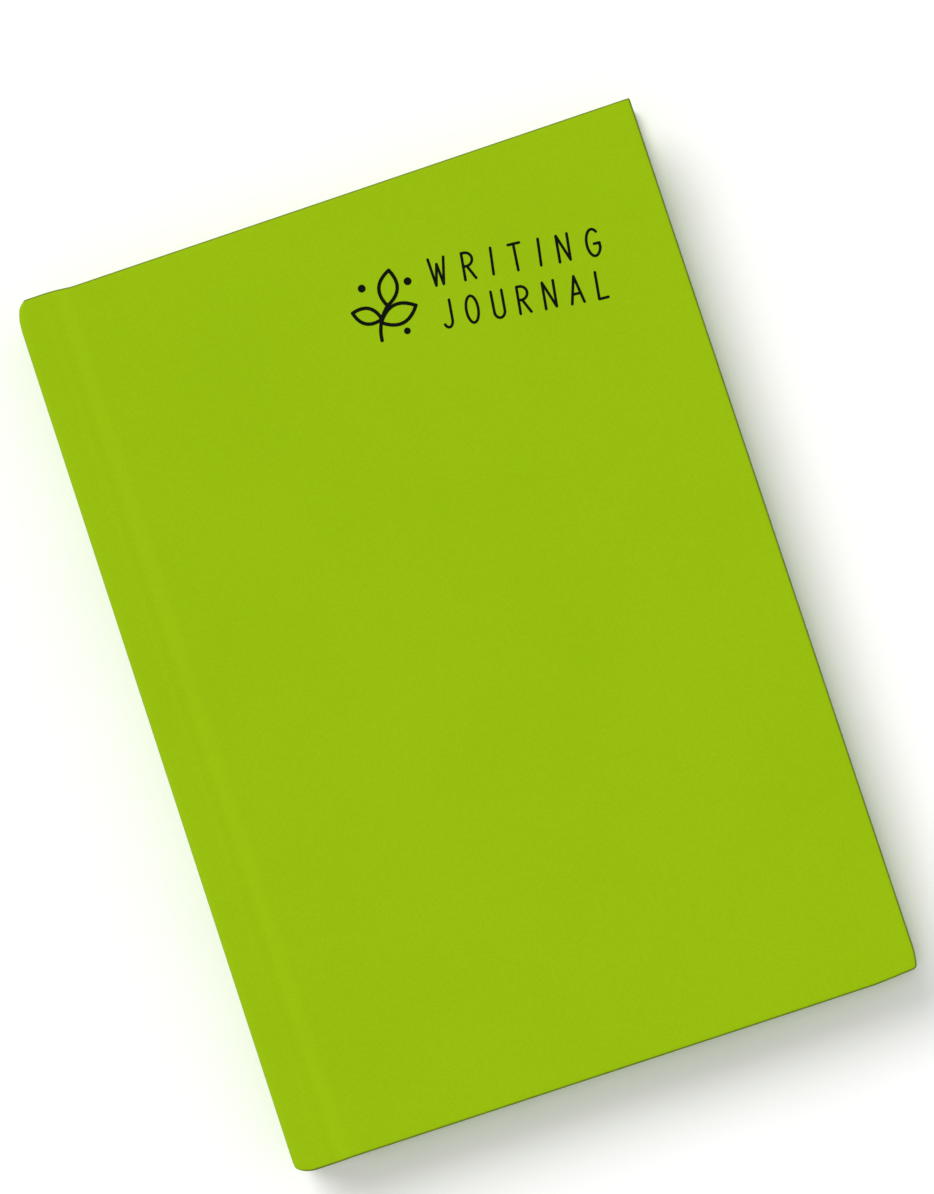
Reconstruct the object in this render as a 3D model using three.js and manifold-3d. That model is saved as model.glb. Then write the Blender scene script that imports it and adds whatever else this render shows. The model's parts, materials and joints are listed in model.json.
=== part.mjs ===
// Casebound pocket notebook: two cloth-covered boards, a flat spine that folds along both of its edges,
// a soft groove beside the spine, and a sewn block of eight folded signatures between endpapers.
//
// Lengths are millimetres. In the book's own frame x runs from the spine face to the fore edge, y from the
// tail to the head, and z up from the back cover to the front cover. The exported group puts the origin under
// the middle of the closed book.

import * as THREE from "three";
import { mergeVertices } from "three/addons/utils/BufferGeometryUtils.js";
import Module from "manifold-3d";

const wasm = await Module();
wasm.setup();

// Case
const CASE_WIDTH = 108;
const CASE_HEIGHT = 151.5;
const CLOTH = 0.4;
const BOARD = 2.0;
const BOARD_CORNER = 1.2;
const TURN_IN = 0.3;
const TURN_IN_WIDTH = 14;
const GLUE_GAP = 0.02; // hairline between glued layers

// Spine and the two folds beside it
const FOLD_RADIUS = 1.2;
const FOLD_OVERLAP = THREE.MathUtils.degToRad(40); // how far the spine cloth rolls past each fold
const SPINE_BOARD = 1.2;
const SPINE_BOARD_INSET = 3.3; // how far the stiffener stops short of the boards' head and tail edges
const LINING = 0.18;
const MULL = 0.28;
const THREAD_RADIUS = 0.13;
const THREAD_STATIONS = [-54, -18, 18, 54];

// Groove beside the spine, where the front cover hinges
const GROOVE_CENTRE = 7.7;
const GROOVE_HALF_WIDTH = 2.4;
const GROOVE_DEPTH = 0.45;
const GROOVE_CUT = 0.06; // half of the slit between the two cloth pieces that move apart there
const GROOVE_STEPS = 12;
const BOARD_START = GROOVE_CENTRE + GROOVE_HALF_WIDTH + 0.1;
const STRIP_TOE = 1.7; // outer start of a joint strip beside its fold
const STRIP_HEEL = 2.45; // inner start of a joint strip beside its fold

// Text block
const SQUARE = 2.5; // how far the case stands proud of the leaves at head, tail and fore edge
const BLOCK_START = 3.0;
const SIGNATURE_COUNT = 8;
const SIGNATURE = 1.0;
const ENDPAPER = 0.15;
const LEAF = 0.14;
const LEAF_PITCH = 0.2;
const FREE_LEAF_COUNT = 3;
const FREE_LEAF_START = 3.8; // spine edge of the lowest free leaf
const FREE_LEAF_STEP = 0.3; // each free leaf above it starts this much nearer the spine
const PAPER_GAP = 0.05;
const FLYLEAF_START = 8.4;
const PASTEDOWN_MARGIN = 3;
const FOLD_SEGMENTS = 8;

// Headbands
const BAND_BEAD = 0.65;
const BAND_TAPE = 0.24;
const BAND_TAPE_LENGTH = 7;
const BAND_END_GAP = 0.3;

// Mull flanges under the pastedowns
const FLANGE_WIDTH = 20;
const FLANGE_HALF_HEIGHT = 58;

// Worked out from the dimensions above
const HALF_HEIGHT = CASE_HEIGHT / 2;
const BLOCK_END = CASE_WIDTH - SQUARE;
const BLOCK_HALF = HALF_HEIGHT - SQUARE;
const TURN_IN_TOP = CLOTH + BOARD + TURN_IN;
const PASTEDOWN_TOP = TURN_IN_TOP + ENDPAPER;
const FLYLEAF_BOTTOM = PASTEDOWN_TOP + PAPER_GAP;
const BLOCK_BOTTOM = FLYLEAF_BOTTOM + ENDPAPER + PAPER_GAP;
const SIGNATURE_PITCH = SIGNATURE + PAPER_GAP;
const HALF_COUNT = SIGNATURE_COUNT / 2;
const HALF_BLOCK = HALF_COUNT * SIGNATURE_PITCH - PAPER_GAP;
const CENTRE_GAP = FREE_LEAF_COUNT * LEAF_PITCH + 0.15;
const THICKNESS = 2 * (BLOCK_BOTTOM + HALF_BLOCK) + CENTRE_GAP;
const LINING_X = CLOTH + SPINE_BOARD + GLUE_GAP;
const MULL_X = LINING_X + LINING + GLUE_GAP;
const SEWING_X = MULL_X + MULL + GLUE_GAP;

const CLOTH_GREEN = new THREE.MeshStandardMaterial({ color: 0x97bc13, roughness: 0.78, metalness: 0 });
const GREY_BOARD = new THREE.MeshStandardMaterial({ color: 0x8f8b82, roughness: 0.95, metalness: 0 });
const PAGE = new THREE.MeshStandardMaterial({ color: 0xf3eedd, roughness: 0.9, metalness: 0 });
const ENDPAPER_WHITE = new THREE.MeshStandardMaterial({ color: 0xf7f6f1, roughness: 0.88, metalness: 0 });
const KRAFT = new THREE.MeshStandardMaterial({ color: 0xb08a5a, roughness: 0.9, metalness: 0 });
const GAUZE = new THREE.MeshStandardMaterial({ color: 0xe9e4d6, roughness: 0.95, metalness: 0 });
const THREAD = new THREE.MeshStandardMaterial({ color: 0xf4f2ea, roughness: 0.8, metalness: 0 });
const BAND = new THREE.MeshStandardMaterial({ color: 0xcfdc8a, roughness: 0.7, metalness: 0 });

// A closed geometry as a solid that can be joined and cut.
function solid(geometry) {
  const bare = geometry.clone();
  bare.deleteAttribute("normal");
  bare.deleteAttribute("uv");
  const merged = mergeVertices(bare, 1e-4);
  return new wasm.Manifold(
    new wasm.Mesh({
      numProp: 3,
      vertProperties: new Float32Array(merged.attributes.position.array),
      triVerts: new Uint32Array(merged.index.array),
    }),
  );
}

// A solid back as a geometry.
function geometryOf(body) {
  const mesh = body.getMesh();
  return new THREE.BufferGeometry()
    .setAttribute("position", new THREE.BufferAttribute(mesh.vertProperties, 3))
    .setIndex(new THREE.BufferAttribute(mesh.triVerts, 1));
}

function box(x0, x1, halfY, z0, z1) {
  const geometry = new THREE.BoxGeometry(x1 - x0, 2 * halfY, z1 - z0);
  geometry.translate((x0 + x1) / 2, 0, (z0 + z1) / 2);
  return geometry;
}

// A flat plate seen from above: square at the spine side, with rounded corners at the fore edge.
function plate(x0, x1, halfY, z0, z1, corner) {
  const outline = new THREE.Shape();
  outline.moveTo(x0, -halfY);
  outline.lineTo(x1 - corner, -halfY);
  outline.absarc(x1 - corner, -halfY + corner, corner, -Math.PI / 2, 0, false);
  outline.absarc(x1 - corner, halfY - corner, corner, 0, Math.PI / 2, false);
  outline.lineTo(x0, halfY);
  const depth = z1 - z0;
  const geometry = new THREE.ExtrudeGeometry(outline, { depth, bevelEnabled: false, curveSegments: 5 });
  return geometry.translate(0, 0, z0);
}

// A cross-section of [x, z] points run along the whole height of the book.
function alongY(points, halfY) {
  const outline = new THREE.Shape(points.map(([x, z]) => new THREE.Vector2(x, z)));
  const geometry = new THREE.ExtrudeGeometry(outline, { depth: 2 * halfY, bevelEnabled: false });
  return geometry.rotateX(Math.PI / 2).translate(0, halfY, 0);
}

// Points on an arc in the cross-section.
function arc(x, z, radius, from, to, steps) {
  return Array.from({ length: steps + 1 }, (_, i) => {
    const angle = from + ((to - from) * i) / steps;
    return [x + radius * Math.cos(angle), z + radius * Math.sin(angle)];
  });
}

// Turns a height above the table into the same depth below the front face.
const fromTop = (z) => THICKNESS - z;
const mirrored = (points) => points.map(([x, z]) => [x, fromTop(z)]);

// Height of the cloth's outer face over the table, for the back cover.
function grooveHeight(x) {
  const across = THREE.MathUtils.clamp((x - GROOVE_CENTRE) / GROOVE_HALF_WIDTH, -1, 1);
  return (GROOVE_DEPTH * (1 + Math.cos(Math.PI * across))) / 2;
}

// Cross-section of the joint cloth between two distances from the spine face.
function jointStrip(outerStart, innerStart, end) {
  const first = GROOVE_CENTRE - GROOVE_HALF_WIDTH;
  const xs = Array.from({ length: GROOVE_STEPS + 1 }, (_, i) => {
    return first + (2 * GROOVE_HALF_WIDTH * i) / GROOVE_STEPS;
  }).filter((x) => x > outerStart && x < end);
  const outer = [outerStart, ...xs, end].map((x) => [x, grooveHeight(x)]);
  const inner = [innerStart, ...xs.filter((x) => x > innerStart), end];
  return [...outer, ...inner.reverse().map((x) => [x, grooveHeight(x) + CLOTH])];
}

// The cloth round one board: outer face, three edges and the turn-ins, for the back cover.
function boardWrap() {
  const outside = solid(plate(BOARD_START, CASE_WIDTH, HALF_HEIGHT, 0, TURN_IN_TOP, BOARD_CORNER + CLOTH));
  const pocketEnd = CASE_WIDTH - CLOTH;
  const pocketHalf = HALF_HEIGHT - CLOTH;
  const pocket = solid(plate(BOARD_START - 1, pocketEnd, pocketHalf, CLOTH, CLOTH + BOARD, BOARD_CORNER));
  const windowEnd = CASE_WIDTH - TURN_IN_WIDTH;
  const windowHalf = HALF_HEIGHT - TURN_IN_WIDTH;
  const window = solid(box(BOARD_START - 1, windowEnd, windowHalf, CLOTH + BOARD / 2, TURN_IN_TOP + 1));
  return outside.subtract(pocket).subtract(window);
}

// Turns a back cover solid upside down into the matching front cover solid.
function turnedOver(body) {
  return body.mirror([0, 0, 1]).translate([0, 0, THICKNESS]);
}

function backCloth() {
  const strip = solid(alongY(jointStrip(STRIP_TOE, STRIP_HEEL, BOARD_START + 0.1), HALF_HEIGHT));
  return geometryOf(boardWrap().add(strip));
}

function frontCloth() {
  const cut = GROOVE_CENTRE + GROOVE_CUT;
  const strip = solid(alongY(jointStrip(cut, cut, BOARD_START + 0.1), HALF_HEIGHT));
  return geometryOf(turnedOver(boardWrap().add(strip)));
}

function frontJointCloth() {
  return alongY(mirrored(jointStrip(STRIP_TOE, STRIP_HEEL, GROOVE_CENTRE - GROOVE_CUT)), HALF_HEIGHT);
}

// The spine cloth is a flat panel whose two long edges roll round the folds.
function spineCloth() {
  const low = FOLD_RADIUS;
  const high = THICKNESS - FOLD_RADIUS;
  const inner = FOLD_RADIUS - CLOTH;
  const down = -Math.PI / 2 + FOLD_OVERLAP;
  const up = Math.PI / 2 - FOLD_OVERLAP;
  return alongY(
    [
      ...arc(FOLD_RADIUS, low, FOLD_RADIUS, down, -Math.PI, FOLD_SEGMENTS),
      ...arc(FOLD_RADIUS, high, FOLD_RADIUS, Math.PI, up, FOLD_SEGMENTS),
      ...arc(FOLD_RADIUS, high, inner, up, Math.PI, FOLD_SEGMENTS),
      ...arc(FOLD_RADIUS, low, inner, -Math.PI, down, FOLD_SEGMENTS),
    ],
    HALF_HEIGHT,
  );
}

function board() {
  const start = BOARD_START + GLUE_GAP;
  const end = CASE_WIDTH - CLOTH - GLUE_GAP;
  const half = HALF_HEIGHT - CLOTH - GLUE_GAP;
  return plate(start, end, half, CLOTH + GLUE_GAP, CLOTH + BOARD - GLUE_GAP, BOARD_CORNER);
}

// A pastedown: one sheet over the turn-ins, filled out to the board inside them.
function pastedown(start) {
  const sheet = box(start, BLOCK_END - 0.5, HALF_HEIGHT - PASTEDOWN_MARGIN, TURN_IN_TOP, PASTEDOWN_TOP);
  const fillStart = BOARD_START + FLANGE_WIDTH + 0.4;
  const fillEnd = CASE_WIDTH - TURN_IN_WIDTH - 0.4;
  const fillHalf = HALF_HEIGHT - TURN_IN_WIDTH - 0.4;
  const fill = box(fillStart, fillEnd, fillHalf, CLOTH + BOARD + GLUE_GAP, TURN_IN_TOP + ENDPAPER / 2);
  return solid(sheet).add(solid(fill));
}

function mullFlange() {
  const start = BOARD_START + 0.2;
  const bottom = CLOTH + BOARD + GLUE_GAP;
  return box(start, start + FLANGE_WIDTH, FLANGE_HALF_HEIGHT, bottom, TURN_IN_TOP - GLUE_GAP);
}

// A folded signature: round at its fold, square at the fore edge.
function signature(bottom) {
  const radius = SIGNATURE / 2;
  const fold = arc(BLOCK_START + radius, bottom + radius, radius, Math.PI / 2, (3 * Math.PI) / 2, FOLD_SEGMENTS);
  return alongY([...fold, [BLOCK_END, bottom], [BLOCK_END, bottom + SIGNATURE]], BLOCK_HALF);
}

function signatureBottom(number) {
  if (number <= HALF_COUNT) return BLOCK_BOTTOM + (number - 1) * SIGNATURE_PITCH;
  const above = SIGNATURE_COUNT - number;
  return THICKNESS - BLOCK_BOTTOM - SIGNATURE - above * SIGNATURE_PITCH;
}

function freeLeaf(number) {
  const start = FREE_LEAF_START - (number - 1) * FREE_LEAF_STEP;
  const bottom = BLOCK_BOTTOM + HALF_BLOCK + LEAF / 2 + (number - 1) * LEAF_PITCH;
  return box(start, BLOCK_END, BLOCK_HALF, bottom, bottom + LEAF);
}

// A woven band: a bead that caps the leaves at one end of the spine, on a tape glued down the spine.
function headband(end) {
  const bottom = BLOCK_BOTTOM + BAND_END_GAP;
  const length = THICKNESS - 2 * bottom;
  const beadY = BLOCK_HALF + BAND_BEAD + 0.15;
  const beadX = SEWING_X + BAND_BEAD - 0.1;
  const bead = new THREE.CylinderGeometry(BAND_BEAD, BAND_BEAD, length, 14);
  bead.rotateX(Math.PI / 2).translate(beadX, end * beadY, THICKNESS / 2);
  const tape = new THREE.BoxGeometry(BAND_TAPE, BAND_TAPE_LENGTH, length);
  tape.translate(SEWING_X + BAND_TAPE / 2, end * (beadY - BAND_TAPE_LENGTH / 2), THICKNESS / 2);
  return geometryOf(solid(bead).add(solid(tape)));
}

// One sewing station: the thread that links the folds of all the signatures.
function sewingThread(y) {
  const length = THICKNESS - 2 * BLOCK_BOTTOM;
  const thread = new THREE.CylinderGeometry(THREAD_RADIUS, THREAD_RADIUS, length, 8);
  return thread.rotateX(Math.PI / 2).translate(SEWING_X + THREAD_RADIUS, y, THICKNESS / 2);
}

function piece(name, geometry, material) {
  const mesh = new THREE.Mesh(geometry, material);
  mesh.name = name;
  return mesh;
}

function turnedGeometry(geometry) {
  return geometryOf(turnedOver(solid(geometry)));
}

function flyleaf(start) {
  return box(start, BLOCK_END, BLOCK_HALF, FLYLEAF_BOTTOM, FLYLEAF_BOTTOM + ENDPAPER);
}

function backCover() {
  const cover = new THREE.Group();
  cover.add(piece("back_board", board(), GREY_BOARD));
  cover.add(piece("back_cloth", backCloth(), CLOTH_GREEN));
  cover.add(piece("mull_back_flange", mullFlange(), GAUZE));
  cover.add(piece("back_pastedown", geometryOf(pastedown(BLOCK_START + 0.1)), ENDPAPER_WHITE));
  cover.add(piece("back_flyleaf", flyleaf(BLOCK_START + 0.1), ENDPAPER_WHITE));
  return cover;
}

function frontCover() {
  const cover = new THREE.Group();
  cover.add(piece("front_board", turnedGeometry(board()), GREY_BOARD));
  cover.add(piece("front_cloth", frontCloth(), CLOTH_GREEN));
  cover.add(piece("mull_front_flange", turnedGeometry(mullFlange()), GAUZE));
  const inner = geometryOf(turnedOver(pastedown(GROOVE_CENTRE + 0.5)));
  cover.add(piece("front_pastedown", inner, ENDPAPER_WHITE));
  return cover;
}

// What stays on the block side of the front groove.
function frontHinge() {
  const hinge = new THREE.Group();
  hinge.add(piece("front_joint_cloth", frontJointCloth(), CLOTH_GREEN));
  const low = fromTop(PASTEDOWN_TOP);
  const stub = box(BLOCK_START + 0.1, GROOVE_CENTRE - 0.1, BLOCK_HALF, low, low + ENDPAPER);
  hinge.add(piece("front_endpaper_hinge", stub, ENDPAPER_WHITE));
  hinge.add(piece("front_flyleaf", turnedGeometry(flyleaf(FLYLEAF_START)), ENDPAPER_WHITE));
  return hinge;
}

function spine() {
  const low = FOLD_RADIUS;
  const high = THICKNESS - FOLD_RADIUS;
  const group = new THREE.Group();
  group.add(piece("spine_cloth", spineCloth(), CLOTH_GREEN));
  const stiffenerHalf = HALF_HEIGHT - SPINE_BOARD_INSET;
  const stiffener = box(CLOTH + GLUE_GAP, CLOTH + SPINE_BOARD, stiffenerHalf, low, high);
  group.add(piece("spine_board", stiffener, GREY_BOARD));
  group.add(piece("spine_lining", box(LINING_X, LINING_X + LINING, BLOCK_HALF - 1, low, high), KRAFT));
  group.add(piece("mull", box(MULL_X, MULL_X + MULL, FLANGE_HALF_HEIGHT, low, high), GAUZE));
  group.add(piece("headband", headband(1), BAND));
  group.add(piece("tailband", headband(-1), BAND));
  THREAD_STATIONS.forEach((y, i) => {
    group.add(piece("sewing_thread_" + (i + 1), sewingThread(y), THREAD));
  });
  return group;
}

function textBlock() {
  const block = new THREE.Group();
  for (let n = 1; n <= SIGNATURE_COUNT; n += 1) {
    block.add(piece("signature_" + n, signature(signatureBottom(n)), PAGE));
  }
  for (let n = 1; n <= FREE_LEAF_COUNT; n += 1) {
    block.add(piece("centre_leaf_" + n, freeLeaf(n), PAGE));
  }
  return block;
}

const group = new THREE.Group();
group.name = "pocket_notebook";
group.add(backCover(), spine(), textBlock(), frontHinge(), frontCover());
group.position.x = -CASE_WIDTH / 2;

export default group;
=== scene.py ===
import json
import math
import random

import bmesh
import bpy
import numpy as np
from mathutils import Matrix, Vector
from mathutils.geometry import delaunay_2d_cdt


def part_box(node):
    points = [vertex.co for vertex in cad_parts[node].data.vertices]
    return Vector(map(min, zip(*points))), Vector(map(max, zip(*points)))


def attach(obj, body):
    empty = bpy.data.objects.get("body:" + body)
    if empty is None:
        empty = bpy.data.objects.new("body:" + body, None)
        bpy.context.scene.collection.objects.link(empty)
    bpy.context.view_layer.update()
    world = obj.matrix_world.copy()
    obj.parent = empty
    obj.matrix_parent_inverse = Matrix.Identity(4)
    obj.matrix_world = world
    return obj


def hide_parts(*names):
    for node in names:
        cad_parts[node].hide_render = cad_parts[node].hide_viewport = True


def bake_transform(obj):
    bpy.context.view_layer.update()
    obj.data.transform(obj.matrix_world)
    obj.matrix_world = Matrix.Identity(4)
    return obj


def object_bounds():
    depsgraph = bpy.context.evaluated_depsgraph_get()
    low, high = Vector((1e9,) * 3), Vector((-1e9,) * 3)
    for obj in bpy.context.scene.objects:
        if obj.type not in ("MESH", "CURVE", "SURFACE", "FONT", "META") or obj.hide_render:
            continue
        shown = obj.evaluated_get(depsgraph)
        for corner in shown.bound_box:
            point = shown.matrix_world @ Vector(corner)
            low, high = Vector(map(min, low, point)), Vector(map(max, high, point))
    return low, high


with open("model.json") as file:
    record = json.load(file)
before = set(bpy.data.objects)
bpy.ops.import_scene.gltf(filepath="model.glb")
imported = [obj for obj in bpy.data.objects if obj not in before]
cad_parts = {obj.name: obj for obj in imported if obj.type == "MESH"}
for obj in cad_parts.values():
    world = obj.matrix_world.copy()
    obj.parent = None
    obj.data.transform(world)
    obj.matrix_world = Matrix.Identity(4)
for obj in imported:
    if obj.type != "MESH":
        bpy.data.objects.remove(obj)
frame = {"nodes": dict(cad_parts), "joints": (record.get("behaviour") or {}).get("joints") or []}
cad_low, cad_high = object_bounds()

MM = 0.001
UV = "sheet"


# ---------------------------------------------------------------- places taken from the frame


def joint_at(name):
    return Vector(next(j for j in frame["joints"] if j["name"] == name)["pos_m"])


SPINE_X = cad_low.x
FORE_X = cad_high.x
TOP = cad_high.z
HALF = cad_high.y
FOLD = joint_at("spine_hinge").x - SPINE_X
GROOVE_X = joint_at("front_cover_hinge").x
BLOCK_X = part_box("signature_1")[0].x
BOARD_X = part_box("front_board")[0].x


# ---------------------------------------------------------------- camera, light and floor

CAMERA_DISTANCE = 0.9
CAMERA_ROLL = math.radians(18.47)
CAMERA_TILT = math.radians(-2.56)
CAMERA_PAN = math.radians(-3.99)
CAMERA_ASIDE = (0.64 * MM, 6.33 * MM)
CAMERA_LENS = 164.65
KEY_SPREAD = math.radians(38)
KEY_SIDE = math.radians(114)
KEY_HEIGHT = math.radians(52)
KEY_SHARE = 0.42  # light on a level surface from the key, where 1 shows a white sheet as pure white
SKY_SHARE = 0.70  # the same from the even light all round


def make_camera():
    """A long lens nearly straight above the front cover, rolled so that the book looks turned."""
    roll = Matrix.Rotation(CAMERA_ROLL, 4, "Z")
    tilt = Matrix.Rotation(CAMERA_TILT, 4, "X")
    pan = Matrix.Rotation(CAMERA_PAN, 4, "Y")
    turn = (pan @ tilt @ roll).inverted()
    data = bpy.data.cameras.new("camera")
    data.lens = CAMERA_LENS
    data.sensor_width = 36
    data.sensor_fit = "AUTO"
    data.clip_start = 0.01
    data.clip_end = 20
    camera = bpy.data.objects.new("camera", data)
    place = Matrix.Translation((0, 0, TOP)) @ turn
    camera.matrix_world = place @ Matrix.Translation((*CAMERA_ASIDE, CAMERA_DISTANCE))
    bpy.context.scene.collection.objects.link(camera)
    bpy.context.scene.camera = camera


def make_lights():
    """One broad soft light from the upper left of the picture, and even light all round."""
    data = bpy.data.lights.new("key", "SUN")
    data.angle = KEY_SPREAD
    data.energy = KEY_SHARE * math.pi / math.sin(KEY_HEIGHT)
    data.color = (1.0, 0.995, 0.985)
    key = bpy.data.objects.new("key", data)
    flat = math.cos(KEY_HEIGHT)
    way = Vector((flat * math.cos(KEY_SIDE), flat * math.sin(KEY_SIDE), math.sin(KEY_HEIGHT)))
    key.rotation_mode = "QUATERNION"
    key.rotation_quaternion = way.to_track_quat("Z", "Y")
    bpy.context.scene.collection.objects.link(key)
    world = bpy.data.worlds.new("studio")
    world.use_nodes = True
    background = world.node_tree.nodes["Background"]
    background.inputs["Color"].default_value = (0.995, 1.0, 1.0, 1)
    background.inputs["Strength"].default_value = SKY_SHARE
    bpy.context.scene.world = world
    bpy.context.scene.view_settings.view_transform = "Standard"
    bpy.context.scene.view_settings.look = "None"


# ---------------------------------------------------------------- materials


class Nodes:
    """A short way to write a node material: add nodes, then join sockets."""

    def __init__(self, name, **principled):
        self.material = bpy.data.materials.new(name)
        self.material.use_nodes = True
        self.tree = self.material.node_tree
        self.shader = self.tree.nodes["Principled BSDF"]
        for socket, value in principled.items():
            self.shader.inputs[socket.replace("_", " ")].default_value = value

    def add(self, kind, **settings):
        node = self.tree.nodes.new("ShaderNode" + kind)
        for key, value in settings.items():
            if key in node.inputs:
                node.inputs[key].default_value = value
            else:
                setattr(node, key, value)
        return node

    def join(self, source, target):
        self.tree.links.new(source, target)

    def uv(self):
        """The unfolded sheet's own coordinates, in metres, which bend with it."""
        return self.add("UVMap", uv_map=UV).outputs["UV"]

    def value_at(self, name):
        """A number stored at each point of the mesh."""
        return self.add("Attribute", attribute_name=name).outputs["Fac"]

    def place(self, scale=(1, 1, 1)):
        """The piece's place in the book, in metres, at rest."""
        mapping = self.add("Mapping")
        mapping.inputs["Scale"].default_value = scale
        self.join(self.add("TexCoord").outputs["Object"], mapping.inputs["Vector"])
        return mapping.outputs["Vector"]

    def noise(self, where, scale, detail=2.0, roughness=0.5):
        node = self.add("TexNoise", Scale=scale, Detail=detail, Roughness=roughness)
        self.join(where, node.inputs["Vector"])
        return node.outputs["Fac"]

    def cells(self, where, scale):
        node = self.add("TexVoronoi", Scale=scale)
        self.join(where, node.inputs["Vector"])
        return node.outputs["Distance"]

    def ramp(self, value, stops):
        node = self.add("ValToRGB")
        elements = node.color_ramp.elements
        while len(elements) < len(stops):
            elements.new(0.5)
        for element, (position, colour) in zip(elements, stops):
            element.position = position
            element.color = (*colour, 1)
        self.join(value, node.inputs["Fac"])
        return node.outputs["Color"]

    def range(self, value, low, high, from_low=0.0, from_high=1.0):
        """The value moved from one range of numbers to another, and kept inside it."""
        node = self.add("MapRange")
        limits = {"From Min": from_low, "From Max": from_high, "To Min": low, "To Max": high}
        for socket, number in limits.items():
            node.inputs[socket].default_value = number
        self.join(value, node.inputs["Value"])
        return node.outputs["Result"]

    def math(self, operation, a, b):
        node = self.add("Math", operation=operation)
        for socket, value in zip(node.inputs, (a, b)):
            if isinstance(value, (int, float)):
                socket.default_value = value
            else:
                self.join(value, socket)
        return node.outputs["Value"]

    def mix(self, factor, a, b):
        """Mix of two colours, each a triple or a socket."""
        node = self.add("Mix", data_type="RGBA")
        self.join(factor, node.inputs["Factor"])
        for socket, value in ((node.inputs[6], a), (node.inputs[7], b)):
            if isinstance(value, tuple):
                socket.default_value = (*value, 1)
            else:
                self.join(value, socket)
        return node.outputs[2]

    def bump(self, height, strength, distance, onto=None):
        node = self.add("Bump", Strength=strength, Distance=distance)
        self.join(height, node.inputs["Height"])
        if onto is not None:
            self.join(onto, node.inputs["Normal"])
        return node.outputs["Normal"]

    def surface(self, colour=None, roughness=None, normal=None):
        for socket, value in (("Base Color", colour), ("Roughness", roughness), ("Normal", normal)):
            if value is not None:
                self.join(value, self.shader.inputs[socket])
        return self.material


GREEN = (0.2755, 0.4540, 0.0015)
GREEN_DEEP = (0.2690, 0.4450, 0.0012)
GREEN_LIGHT = (0.2805, 0.4590, 0.0022)
# Painted highlight: a paler green laid along the groove, where light falls on the groove's slope.
GREEN_GROOVE_HIGHLIGHT = (0.3010, 0.4890, 0.0022)
# Painted shade: a dark olive laid on the cloth's rounded edges, which turn away from the light.
EDGE_SHADE_OLIVE = (0.110, 0.150, 0.0080)


def cloth_material():
    """Matte lime green cloth: fine pebbled grain, faint mottling, a painted highlight along the groove
    and painted shade on its rounded edges.
    """
    n = Nodes("cover_cloth", Roughness=0.62)
    n.shader.inputs["Specular IOR Level"].default_value = 0.05
    where = n.uv()
    mottle = n.noise(where, 30, 5.0, 0.6)
    tone = n.ramp(mottle, [(0.32, GREEN_DEEP), (0.50, GREEN), (0.70, GREEN_LIGHT)])
    # Painted highlight along the groove, centred a little towards the spine so that it also lightens the
    # groove's shaded slope.
    along = n.add("SeparateXYZ")
    n.join(where, along.inputs["Vector"])
    from_spine = n.math("ABSOLUTE", along.outputs["X"], 0)
    from_highlight = n.math("ABSOLUTE", n.math("SUBTRACT", from_spine, GROOVE_PATH - GROOVE_HIGHLIGHT_ASIDE), 0)
    groove_highlight = n.range(from_highlight, GROOVE_HIGHLIGHT_SHARE, 0.0, 0.2 * GROOVE_HALF_WIDTH, 1.2 * GROOVE_HALF_WIDTH)
    tone = n.mix(groove_highlight, tone, GREEN_GROOVE_HIGHLIGHT)
    # Painted shade on the rounded edges, made patchy by noise.
    uneven = n.range(n.noise(where, 500, 3.0, 0.6), 0.80, 1.0, 0.3, 0.6)
    edge_shaded = n.math("MULTIPLY", n.value_at("edge"), uneven)
    tone = n.mix(edge_shaded, tone, EDGE_SHADE_OLIVE)
    grain = n.cells(where, 2600)
    fibre = n.noise(where, 5200, 3.0, 0.65)
    shade = n.add("HueSaturation")
    n.join(n.range(grain, 0.965, 1.02, 0.0, 0.7), shade.inputs["Value"])
    n.join(tone, shade.inputs["Color"])
    roughness = n.range(n.noise(where, 60, 3.0), 0.56, 0.70)
    height = n.math("ADD", n.math("MULTIPLY", grain, 0.7), n.math("MULTIPLY", fibre, 0.45))
    fine = n.bump(height, 0.30, 0.00006)
    broad = n.bump(n.noise(where, 90, 2.0), 0.08, 0.0004, fine)
    return n.surface(shade.outputs["Color"], roughness, broad)


def ink_material():
    """Black print that sits in the grain of the cover."""
    n = Nodes("print_ink", Roughness=0.8)
    n.shader.inputs["Specular IOR Level"].default_value = 0.05
    where = n.place()
    edge_shade_and_ink_wear = n.noise(where, 5000, 3.0, 0.7)
    colour = n.ramp(edge_shade_and_ink_wear, [(0.25, (0.0020, 0.0028, 0.0015)), (0.75, (0.0050, 0.0066, 0.0030))])
    return n.surface(colour, n.range(edge_shade_and_ink_wear, 0.7, 0.9), n.bump(edge_shade_and_ink_wear, 0.2, 0.00004))


def page_material(name, light, dark, ruled):
    """Smooth uncoated paper; writing pages carry pale ruled lines."""
    n = Nodes(name, Roughness=0.86)
    n.shader.inputs["Specular IOR Level"].default_value = 0.25
    where = n.place()
    cloudy = n.noise(where, 300, 4.0, 0.6)
    colour = n.ramp(cloudy, [(0.3, dark), (0.7, light)])
    if ruled:
        across = n.add("SeparateXYZ")
        n.join(where, across.inputs["Vector"])
        colour = ruled_lines(n, across.outputs["Y"], colour)
    fibre = n.noise(where, 2600, 3.0, 0.7)
    return n.surface(colour, n.range(fibre, 0.80, 0.92), n.bump(fibre, 0.10, 0.00003))


RULE_PITCH = 6.5 * MM
RULE_WIDTH = 0.16 * MM
RULE_TOP = 60 * MM
RULE_BOTTOM = -66 * MM
RULE_COLOUR = (0.46, 0.56, 0.62)


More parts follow.
